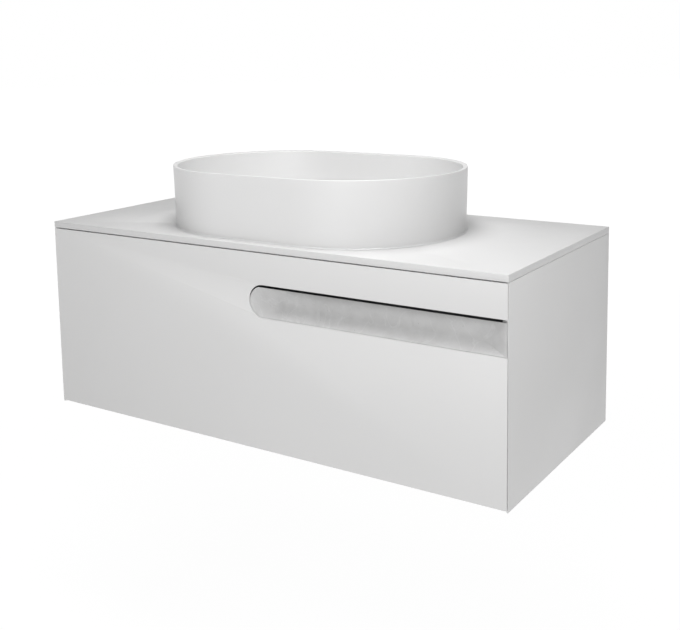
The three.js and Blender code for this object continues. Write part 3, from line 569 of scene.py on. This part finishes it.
def stadium(inset, z):
    """A loop of points: two half-round ends and two straight sides, set in from the rim's outline."""
    half_width = BASIN_HALF_WIDTH - inset
    straight = BASIN_HALF_LENGTH - BASIN_HALF_WIDTH
    loop = []
    for side in (1, -1):
        for i in range(END_STEPS + 1):
            angle = -math.pi / 2 + math.pi * i / END_STEPS
            x = straight + half_width * math.cos(angle)
            loop.append((side * x, side * half_width * math.sin(angle)))
        for i in range(1, SIDE_STEPS):
            x = straight * (1 - 2 * i / SIDE_STEPS)
            loop.append((side * x, side * half_width))
    return [AXIS + Vector((x, y, z)) for x, y in loop]


def ring_like(loop, radius, z):
    """A circle whose points lie in the same directions from the axis as the points of a loop."""
    ring = []
    for point in loop:
        direction = Vector((point.x - AXIS.x, point.y - AXIS.y)).normalized() * radius
        ring.append(AXIS + Vector((direction.x, direction.y, z)))
    return ring


def quarter(steps):
    """The angles of a quarter turn."""
    return [math.pi / 2 * share for share in shares(steps)]


def basin_outside():
    """Over the rounded foot and up the wall, which leans out by the foot's inset."""
    loops = []
    for angle in quarter(EDGE_STEPS):
        inset = BASIN_FOOT_INSET + BASIN_FOOT_ROUND * (1 - math.sin(angle))
        loops.append(stadium(inset, BASIN_BOTTOM + BASIN_FOOT_ROUND * (1 - math.cos(angle))))
    low, high = BASIN_BOTTOM + BASIN_FOOT_ROUND, BASIN_TOP - BASIN_RIM
    for rise in shares(OUTSIDE_STEPS)[1:-1]:
        loops.append(stadium(BASIN_FOOT_INSET * (1 - rise), low + (high - low) * rise))
    return loops


def basin_rim():
    """Round the rim's outer edge, and round its inner edge, which is lower."""
    outer, inner = [], []
    for angle in quarter(EDGE_STEPS):
        inset = BASIN_RIM * (1 - math.cos(angle))
        outer.append(stadium(inset, BASIN_TOP - BASIN_RIM * (1 - math.sin(angle))))
        inset = BASIN_WALL - BASIN_RIM * (1 - math.sin(angle))
        inner.append(stadium(inset, BASIN_TOP - BASIN_RIM_FALL - BASIN_RIM * (1 - math.cos(angle))))
    return outer + inner


def basin_inside():
    """Down the tapering inside and round the cove, to where the floor is level."""
    loops = []
    high, low = BASIN_TOP - BASIN_RIM_FALL - BASIN_RIM, BASIN_FLOOR + BASIN_COVE
    for drop in shares(INSIDE_STEPS)[1:-1]:
        loops.append(stadium(BASIN_WALL + BASIN_INNER_TAPER * drop, high + (low - high) * drop))
    for angle in quarter(COVE_STEPS):
        inset = BASIN_WALL + BASIN_INNER_TAPER + BASIN_COVE * (1 - math.cos(angle))
        loops.append(stadium(inset, BASIN_FLOOR + BASIN_COVE * (1 - math.sin(angle))))
    return loops


def basin_floor(edge):
    """Over the level floor from its edge, down the shallow dish, and through the drain's hole."""
    loops = []
    dish_edge = ring_like(edge, DISH_RADIUS, BASIN_FLOOR)
    for t in shares(FLAT_STEPS)[1:-1]:
        loops.append([first.lerp(last, t) for first, last in zip(edge, dish_edge)])
    for t in shares(DISH_STEPS):
        fall = DISH_DEPTH * (3 * t * t - 2 * t ** 3)
        loops.append(ring_like(edge, DISH_RADIUS + (SEAT_RADIUS - DISH_RADIUS) * t, BASIN_FLOOR - fall))
    seat = BASIN_FLOOR - DISH_DEPTH
    loops.append(ring_like(edge, DRAIN_HOLE + DRAIN_EASE, seat))
    loops.append(ring_like(edge, DRAIN_HOLE, seat - DRAIN_EASE))
    loops.append(ring_like(edge, DRAIN_HOLE, BASIN_BOTTOM))
    return loops


def make_basin():
    """One closed skin: up the outside, over the rim, down the inside and through the drain."""
    loops = basin_outside() + basin_rim() + basin_inside()
    bm = bmesh.new()
    skin(bm, loops + basin_floor(loops[-1]), closed=True)
    make_piece("basin_shell", bm, "cabinet", "basin", ["basin"])


make_basin()

# ---------------------------------------------------------------- waste and trap, in millimetres

PLUG_STEM, PLUG_SKIRT, PLUG_DISC, PLUG_DOME = 4, 16, 29, 28.4  # radii, from the stem to the foot of the dome
PLUG_CAP = 5  # the height of the disc and the dome
PLUG_DISC_EDGE = 1.6
PLUG_DOME_FALL = 2.6
PLUG_SKIRT_DEPTH = 5
PLUG_SKIRT_SLOPE = 1
PLUG_STEPS = 8
WASTE_BORE, WASTE_RADIUS, FLANGE_RADIUS = 17.5, 20.5, 31
FLANGE_HEIGHT = 2
WASTE_FILLET = 0.6
GUIDE_BORE, GUIDE_RADIUS = 4.5, 8
GUIDE_DEPTH, GUIDE_HEIGHT = 46, 6  # from the flange's top to the guide's foot, and the guide's own height
ARM_WIDTH = 4
ARM_IN_GUIDE, ARM_IN_TUBE = 0.2, 0.1  # how far an arm reaches into what it joins
TUBE_BORE, TUBE_RADIUS = 14.5, 16
TUBE_HOLE = 16.3  # the hole that a tube goes through
COLLAR_RADIUS, COLLAR_HEIGHT = 20, 3.5
CUP_RADIUS, CUP_FOOT, CUP_MOUTH, CUP_BORE, CUP_BOWL = 34, 28, 30.3, 27, 22
CUP_GROOVE, CUP_GROOVE_RADIUS = 14, 32.8  # the groove's foot, up from the cup's, and the radius inside it
CUP_GROOVE_WIDTH, CUP_GROOVE_SLOPE = 3, 0.8
CUP_CHAMFER, CUP_FLOOR, CUP_MOUTH_DEPTH = 6, 4, 26.3
NUT_RADIUS, NUT_THREAD, NUT_THREAD_DEPTH = 26, 20.3, 12.3
DOME_NECK, DOME_SHOULDER, DOME_RADIUS = 20, 28.5, 35
DOME_SHOULDER_DEPTH, DOME_EDGE = 6, 1.5  # from the wall to the shoulder, and the height of the dome's edge


def ends(node_name, axis=2):
    """The lowest and highest place of a node along an axis, in millimetres."""
    low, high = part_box(node_name)
    return low[axis] / MM, high[axis] / MM


def make_plug():
    """A domed lifting plug on a skirt and a stem."""
    low, top = ends("drain_plug")
    seat = top - PLUG_CAP
    foot = seat - PLUG_SKIRT_DEPTH
    profile = [(0, low), (PLUG_STEM, low), (PLUG_STEM, foot - PLUG_SKIRT_SLOPE), (PLUG_SKIRT, foot)]
    profile += [(PLUG_SKIRT, seat), (PLUG_DISC, seat), (PLUG_DISC, seat + PLUG_DISC_EDGE)]
    for share in shares(PLUG_STEPS)[1:-1]:
        profile.append((PLUG_DOME * (1 - share), top - PLUG_DOME_FALL * (1 - share) ** 3))
    profile.append((0, top))
    turned_piece("plug_dome", profile, "plug", "chrome", fillet=0.5, replaced=["drain_plug"])


def make_waste():
    """A flanged tube, with a ring on two arms across its bore that guides the plug's stem."""
    low, top = ends("drain_body")
    neck = top - FLANGE_HEIGHT
    shell = [(WASTE_BORE, low), (WASTE_RADIUS, low), (WASTE_RADIUS, neck)]
    shell += [(FLANGE_RADIUS, neck), (FLANGE_RADIUS, top), (WASTE_BORE, top)]
    foot = top - GUIDE_DEPTH
    head = foot + GUIDE_HEIGHT
    guide = [(GUIDE_BORE, foot), (GUIDE_RADIUS, foot), (GUIDE_RADIUS, head), (GUIDE_BORE, head)]
    bm = bmesh.new()
    for profile in (shell, guide):
        skin(bm, turned_rows(rounded(in_metres(profile), WASTE_FILLET * MM), AXIS), closed=True)
    inner, outer = GUIDE_RADIUS - ARM_IN_GUIDE, WASTE_BORE + ARM_IN_TUBE
    size = Vector((outer - inner, ARM_WIDTH, ARM_WIDTH)) * MM
    for side in (-1, 1):
        corners = bmesh.ops.create_cube(bm, size=1)["verts"]
        middle = AXIS + Vector((side * (inner + outer) / 2, 0, (foot + head) / 2)) * MM
        arm = Matrix.Translation(middle) @ Matrix.Diagonal(size).to_4x4()
        bmesh.ops.transform(bm, matrix=arm, verts=corners)
    make_piece("waste_tube", bm, "cabinet", "chrome", ["drain_body"])


def make_tailpiece():
    low, top = ends("tailpiece")
    collar = top - COLLAR_HEIGHT
    profile = [(TUBE_BORE, low), (TUBE_RADIUS, low), (TUBE_RADIUS, collar)]
    profile += [(COLLAR_RADIUS, collar), (COLLAR_RADIUS, top), (TUBE_BORE, top)]
    turned_piece("tailpiece_tube", profile, "cabinet", "chrome", fillet=0.6, replaced=["tailpiece"])


def make_trap_cup():
    """The cup that unscrews for cleaning: a chamfered foot, a groove round the outside and a wider mouth."""
    low, top = ends("trap_cup")
    step = top - CUP_MOUTH_DEPTH
    groove = low + CUP_GROOVE
    profile = [(0, low), (CUP_FOOT, low), (CUP_RADIUS, low + CUP_CHAMFER)]
    groove_top = groove + CUP_GROOVE_WIDTH
    profile += [(CUP_RADIUS, groove), (CUP_GROOVE_RADIUS, groove + CUP_GROOVE_SLOPE)]
    profile += [(CUP_GROOVE_RADIUS, groove_top - CUP_GROOVE_SLOPE), (CUP_RADIUS, groove_top)]
    profile += [(CUP_RADIUS, top), (CUP_MOUTH, top), (CUP_MOUTH, step), (CUP_BORE, step)]
    profile += [(CUP_BOWL, low + CUP_FLOOR), (0, low + CUP_FLOOR)]
    turned_piece("trap_cup_shell", profile, "cabinet", "chrome", fillet=2.0, replaced=["trap_cup"])


def make_outlet():
    """The pieces round the level pipe that runs back to the wall: the pipe, its nut and the escutcheon."""
    low, top = ends("trap_outlet_pipe")
    centre = Vector((0, 0, (low + top) / 2 * MM))
    level = {"body": "cabinet", "slot": "chrome", "centre": centre, "upright": False}
    near, far = ends("trap_outlet_pipe", 1)
    profile = [(TUBE_BORE, near), (TUBE_RADIUS, near), (TUBE_RADIUS, far), (TUBE_BORE, far)]
    turned_piece("outlet_tube", profile, fillet=0.5, replaced=["trap_outlet_pipe"], **level)
    near, far = ends("trap_outlet_nut", 1)
    inner = near + NUT_THREAD_DEPTH
    profile = [(NUT_THREAD, near), (NUT_RADIUS, near), (NUT_RADIUS, far)]
    profile += [(TUBE_HOLE, far), (TUBE_HOLE, inner), (NUT_THREAD, inner)]
    turned_piece("outlet_nut_ring", profile, fillet=1.4, replaced=["trap_outlet_nut"], **level)
    near, far = ends("wall_escutcheon", 1)
    profile = [(TUBE_HOLE, near), (DOME_NECK, near), (DOME_SHOULDER, far - DOME_SHOULDER_DEPTH)]
    profile += [(DOME_RADIUS, far - DOME_EDGE), (DOME_RADIUS, far), (TUBE_HOLE, far)]
    turned_piece("escutcheon_dome", profile, fillet=2.5, replaced=["wall_escutcheon"], **level)


make_plug()
make_waste()
make_tailpiece()
make_trap_cup()
make_outlet()

# ---------------------------------------------------------------- screw heads

SCREW_STEPS = 24
SCREW_RISE = 0.45  # the head's height, as a share of its radius
RECESS_SHARE = 0.5  # from the recess's middle to a flat, as a share of the head's radius
TOP_SCREW_RADIUS = 4 * MM
FRONT_SCREW_RADIUS = 3.5 * MM
BRACKET_THICKNESS = 2 * MM
SCREW_GAP = 0.05 * MM  # keeps a head's back off the bracket's face
SIDE_SCREW_UP = 10 * MM  # from the countertop bracket's lower end
TOP_SCREW_IN = 19 * MM  # from the side panel
FRONT_SCREW_IN = 18 * MM  # from the drawer's side, and from its front
FRONT_SCREW_PLACES = (("low", 0.2), ("high", 0.8))  # as a share of the bracket's height


def screw_head(name, place, outward, radius, body):
    """A pan head with a hexagonal recess, standing on a surface at place."""
    rise = SCREW_RISE * radius
    hexagon = []
    for i in range(SCREW_STEPS):
        angle = 2 * math.pi * i / SCREW_STEPS
        to_flat = (angle + math.pi / 6) % (math.pi / 3) - math.pi / 6
        hexagon.append((angle, RECESS_SHARE * radius / math.cos(to_flat)))
    circle = [(2 * math.pi * i / SCREW_STEPS, 1.0) for i in range(SCREW_STEPS)]

    def ring(shape, scale, height):
        return [Vector((r * scale * math.cos(a), r * scale * math.sin(a), height)) for a, r in shape]

    rows = [
        [Vector((0, 0, 0))],
        ring(circle, radius, 0),
        ring(circle, radius, 0.4 * rise),
        ring(circle, 0.93 * radius, 0.75 * rise),
        ring(circle, 0.78 * radius, rise),
        ring(hexagon, 1.05, rise),
        ring(hexagon, 1.0, 0.93 * rise),
        ring(hexagon, 1.0, 0.25 * rise),
        [Vector((0, 0, 0.2 * rise))],
    ]
    turn = Vector(outward).to_track_quat("Z", "Y").to_matrix()
    bm = bmesh.new()
    skin(bm, [[Vector(place) + turn @ point for point in row] for row in rows])
    make_piece(name, bm, body, "zinc_steel")


def top_screws(side, word):
    """One screw into the side panel and one up into the countertop."""
    low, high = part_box(f"{word}_countertop_bracket")
    wall = high[0] if side > 0 else low[0]
    y = (low[1] + high[1]) / 2
    on_wall = (wall - side * (BRACKET_THICKNESS + SCREW_GAP), y, low[2] + SIDE_SCREW_UP)
    under_top = (wall - side * TOP_SCREW_IN, y, high[2] - BRACKET_THICKNESS - SCREW_GAP)
    screw_head(f"{word}_bracket_side_screw", on_wall, (-side, 0, 0), TOP_SCREW_RADIUS, "cabinet")
    screw_head(f"{word}_bracket_top_screw", under_top, (0, 0, -1), TOP_SCREW_RADIUS, "cabinet")


def front_screws(side, word):
    """A low and a high pair, each with one screw into the drawer's side and one into its front."""
    low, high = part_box(f"{word}_front_bracket")
    wall = high[0] if side > 0 else low[0]
    for place, share in FRONT_SCREW_PLACES:
        name = f"{word}_front_bracket_{place}"
        z = low[2] + (high[2] - low[2]) * share
        on_side = (wall - side * (BRACKET_THICKNESS + SCREW_GAP), low[1] + FRONT_SCREW_IN, z)
        on_front = (wall - side * FRONT_SCREW_IN, low[1] + BRACKET_THICKNESS + SCREW_GAP, z)
        screw_head(f"{name}_side_screw", on_side, (-side, 0, 0), FRONT_SCREW_RADIUS, "drawer")
        screw_head(f"{name}_front_screw", on_front, (0, 1, 0), FRONT_SCREW_RADIUS, "drawer")


for side, word in ((-1, "left"), (1, "right")):
    top_screws(side, word)
    front_screws(side, word)
